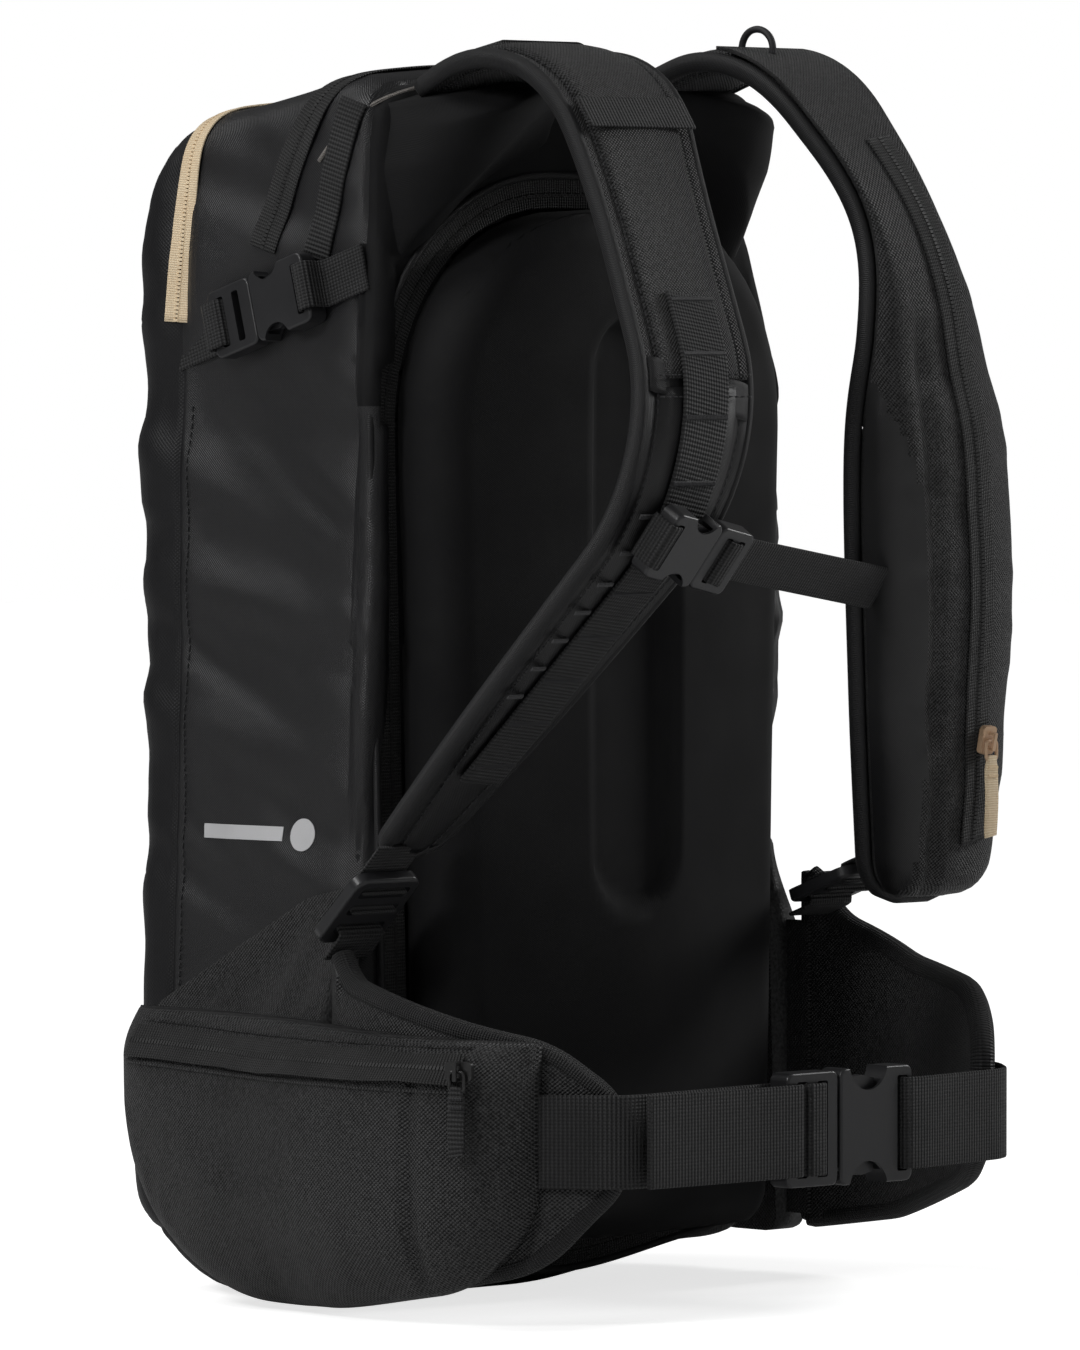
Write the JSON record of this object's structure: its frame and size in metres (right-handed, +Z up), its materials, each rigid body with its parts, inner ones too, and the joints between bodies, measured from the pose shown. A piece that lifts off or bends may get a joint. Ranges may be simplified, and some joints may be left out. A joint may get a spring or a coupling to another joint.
{
  "type": "ski touring backpack",
  "caption": "Soft touring backpack with padded back door, shoulder harness, sternum strap and hip belt, with moving buckles and zip sliders.",
  "frame": {"origin": "middle of the flat base of the bag", "axes": "+Z up along the wearer's back, -Y towards the wearer, +X to the wearer's left"},
  "size_m": [0.3488, 0.3317, 0.5248],
  "materials": {
    "shell_nylon": "smooth coated nylon",
    "base_fabric": "coarse coated nylon",
    "harness_twill": "twill weave",
    "back_softshell": "smooth stretch face",
    "foam": "closed-cell foam",
    "frame_plastic": "smooth sheet",
    "stay_metal": "extruded",
    "dark_zip": "woven tape with coil",
    "tan_zip": "coated woven tape",
    "webbing": "ribbed webbing",
    "cord": "braided",
    "tan_pull": "woven",
    "slider_metal": "satin black",
    "tan_slider": "satin tan",
    "buckle_plastic": "moulded satin"
  },
  "bodies": {
    "bag": {"front_panel": "shell_nylon", "base_panel": "base_fabric", "top_panel": "shell_nylon", "yoke_panel": "harness_twill", "side_panel_l": "shell_nylon", "side_panel_r": "shell_nylon", "back_zip_tape": "dark_zip", "front_zip_tape": "tan_zip", "goggle_zip_tape": "dark_zip", "hip_fins": "harness_twill", "hip_pocket_rear_r": "harness_twill", "compression_females": "buckle_plastic", "compression_males": "buckle_plastic", "side_webbing": "webbing", "webbing_loops": "webbing"},
    "back_door": {"back_panel_cover": "back_softshell", "back_foam": "foam", "frame_sheet": "frame_plastic", "frame_stay": "stay_metal"},
    "harness": {"shoulder_strap_r": "harness_twill", "shoulder_strap_l": "harness_twill", "tube_sleeve_l": "harness_twill", "sleeve_zip_tape_l": "dark_zip", "harness_webbing": "webbing", "cord_loop_l": "cord"},
    "ladder_r": {"ladder_lock_r": "buckle_plastic", "adjuster_webbing_r": "webbing"},
    "ladder_l": {"ladder_lock_l": "buckle_plastic", "adjuster_webbing_l": "webbing"},
    "sternum": {"sternum_buckle_female": "buckle_plastic", "sternum_buckle_male": "buckle_plastic", "sternum_webbing": "webbing"},
    "wing_r": {"hip_wing_r": "harness_twill", "hip_pocket_r": "harness_twill", "pocket_zip_tape_r": "dark_zip", "belt_webbing_r": "webbing", "hip_buckle_male": "buckle_plastic"},
    "wing_l": {"hip_wing_l": "harness_twill", "gear_loop_l": "webbing", "belt_webbing_l": "webbing", "hip_buckle_female": "buckle_plastic"},
    "hip_prong_a": {"hip_prong_a": "buckle_plastic"},
    "hip_prong_b": {"hip_prong_b": "buckle_plastic"},
    "sternum_prong_a": {"sternum_prong_a": "buckle_plastic"},
    "sternum_prong_b": {"sternum_prong_b": "buckle_plastic"},
    "compression_r_prong_a": {"compression_r_prong_a": "buckle_plastic"},
    "compression_r_prong_b": {"compression_r_prong_b": "buckle_plastic"},
    "compression_l_prong_a": {"compression_l_prong_a": "buckle_plastic"},
    "compression_l_prong_b": {"compression_l_prong_b": "buckle_plastic"},
    "sleeve_zip_slider": {"sleeve_zip_slider": "tan_slider"},
    "sleeve_zip_pull": {"sleeve_zip_pull": "tan_pull"},
    "pocket_zip_slider": {"pocket_zip_slider": "slider_metal"},
    "pocket_zip_pull": {"pocket_zip_pull": "cord"},
    "back_zip_slider": {"back_zip_slider": "slider_metal"},
    "back_zip_pull": {"back_zip_pull": "cord"},
    "front_zip_slider": {"front_zip_slider": "slider_metal"},
    "front_zip_pull": {"front_zip_pull": "cord"},
    "goggle_zip_slider": {"goggle_zip_slider": "slider_metal"},
    "goggle_zip_pull": {"goggle_zip_pull": "cord"}
  },
  "joints": [
    {"name": "back_door_hinge", "type": "hinge", "parent": "bag", "child": "back_door", "pos_m": [0, -0.07, 0.022], "axis": [1, 0, 0], "range_deg": [0, 4]},
    {"name": "harness_swing", "type": "hinge", "parent": "bag", "child": "harness", "pos_m": [0, -0.0715, 0.502], "axis": [1, 0, 0], "range_deg": [-8, 0]},
    {"name": "ladder_r_tilt", "type": "hinge", "parent": "harness", "child": "ladder_r", "pos_m": [-0.133, -0.09593, 0.17776], "axis": [1, 0, 0], "range_deg": [-20, 0]},
    {"name": "ladder_l_tilt", "type": "hinge", "parent": "harness", "child": "ladder_l", "pos_m": [0.12, -0.12975, 0.1737], "axis": [1, 0, 0], "range_deg": [-20, 0]},
    {"name": "wing_l_swing", "type": "hinge", "parent": "bag", "child": "wing_l", "pos_m": [0.164, -0.07, 0.06], "axis": [0, 0, 1], "range_deg": [0, 25]},
    {"name": "wing_r_swing", "type": "hinge", "parent": "bag", "child": "wing_r", "pos_m": [-0.164, -0.07, 0.06], "axis": [0, 0, 1], "range_deg": [-25, 0]},
    {"name": "sternum_slide", "type": "slide", "parent": "harness", "child": "sternum", "axis": [0, -0.524, 0.8517], "range_m": [-0.012, 0.012]},
    {"name": "hip_prong_a_squeeze", "type": "hinge", "parent": "wing_r", "child": "hip_prong_a", "pos_m": [0.0009, -0.219, 0.08968], "axis": [0, -1, 0], "range_deg": [-10, 0], "stiffness_Nm_per_rad": 0.4},
    {"name": "hip_prong_b_squeeze", "type": "hinge", "parent": "wing_r", "child": "hip_prong_b", "pos_m": [0.0009, -0.219, 0.06232], "axis": [0, -1, 0], "range_deg": [0, 10], "stiffness_Nm_per_rad": 0.4},
    {"name": "sternum_prong_a_squeeze", "type": "hinge", "parent": "sternum", "child": "sternum_prong_a", "pos_m": [-0.08444, -0.22102, 0.30668], "axis": [0, -0.8517, -0.524], "range_deg": [-10, 0], "stiffness_Nm_per_rad": 0.4},
    {"name": "sternum_prong_b_squeeze", "type": "hinge", "parent": "sternum", "child": "sternum_prong_b", "pos_m": [-0.08132, -0.22839, 0.31865], "axis": [0, -0.8517, -0.524], "range_deg": [0, 10], "stiffness_Nm_per_rad": 0.4},
    {"name": "compression_r_prong_a_squeeze", "type": "hinge", "parent": "bag", "child": "compression_r_prong_a", "pos_m": [-0.11876, -0.00377, 0.41837], "axis": [-0.9994, 0, 0.035], "range_deg": [-10, 0], "stiffness_Nm_per_rad": 0.4},
    {"name": "compression_r_prong_b_squeeze", "type": "hinge", "parent": "bag", "child": "compression_r_prong_b", "pos_m": [-0.11924, -0.00795, 0.4046], "axis": [-0.9994, 0, 0.035], "range_deg": [0, 10], "stiffness_Nm_per_rad": 0.4},
    {"name": "compression_l_prong_a_squeeze", "type": "hinge", "parent": "bag", "child": "compression_l_prong_a", "pos_m": [0.11876, -0.00377, 0.41837], "axis": [-0.9994, 0, -0.035], "range_deg": [-10, 0], "stiffness_Nm_per_rad": 0.4},
    {"name": "compression_l_prong_b_squeeze", "type": "hinge", "parent": "bag", "child": "compression_l_prong_b", "pos_m": [0.11924, -0.00795, 0.4046], "axis": [-0.9994, 0, -0.035], "range_deg": [0, 10], "stiffness_Nm_per_rad": 0.4},
    {"name": "sleeve_zip_run", "type": "slide", "parent": "harness", "child": "sleeve_zip_slider", "axis": [-0.0946, -0.191, 0.977], "range_m": [-0.02, 0.08]},
    {"name": "sleeve_zip_pull_flap", "type": "hinge", "parent": "sleeve_zip_slider", "child": "sleeve_zip_pull", "pos_m": [0.1175, -0.20091, 0.23056], "axis": [1, 0, 0], "range_deg": [-50, 8]},
    {"name": "pocket_zip_run", "type": "hinge", "parent": "wing_r", "child": "pocket_zip_slider", "pos_m": [-0.0184, -0.123, 0.097], "axis": [0, 0, 1], "range_deg": [-34, 0]},
    {"name": "pocket_zip_pull_flap", "type": "hinge", "parent": "pocket_zip_slider", "child": "pocket_zip_pull", "pos_m": [-0.17233, -0.176, 0.105], "axis": [0.3256, -0.9455, 0], "range_deg": [-50, 3]},
    {"name": "back_zip_run", "type": "slide", "parent": "bag", "child": "back_zip_slider", "axis": [0.028, 0, 0.9996], "range_m": [0, 0.26]},
    {"name": "back_zip_pull_flap", "type": "hinge", "parent": "back_zip_slider", "child": "back_zip_pull", "pos_m": [0.1032, -0.0758, 0.074], "axis": [1, 0, 0], "range_deg": [-50, 3]},
    {"name": "front_zip_run", "type": "slide", "parent": "bag", "child": "front_zip_slider", "axis": [-0.0326, -0.3602, 0.9323], "range_m": [0, 0.025]},
    {"name": "front_zip_pull_flap", "type": "hinge", "parent": "front_zip_slider", "child": "front_zip_pull", "pos_m": [0.11764, 0.03732, 0.43312], "axis": [-0.0135, 0.9999, 0], "range_deg": [-50, 3]},
    {"name": "goggle_zip_run", "type": "slide", "parent": "bag", "child": "goggle_zip_slider", "axis": [-0.0321, -0.4, 0.9159], "range_m": [0, 0.018]},
    {"name": "goggle_zip_pull_flap", "type": "hinge", "parent": "goggle_zip_slider", "child": "goggle_zip_pull", "pos_m": [0.1169, -0.0044, 0.45431], "axis": [-0.0153, 0.9999, 0], "range_deg": [-50, 3]}
  ],
  "couplings": [
    {"joint": "wing_l_swing", "follows": "wing_r_swing", "ratio": -1},
    {"joint": "hip_prong_b_squeeze", "follows": "hip_prong_a_squeeze", "ratio": -1},
    {"joint": "sternum_prong_b_squeeze", "follows": "sternum_prong_a_squeeze", "ratio": -1},
    {"joint": "compression_r_prong_b_squeeze", "follows": "compression_r_prong_a_squeeze", "ratio": -1},
    {"joint": "compression_l_prong_b_squeeze", "follows": "compression_l_prong_a_squeeze", "ratio": -1}
  ]
}
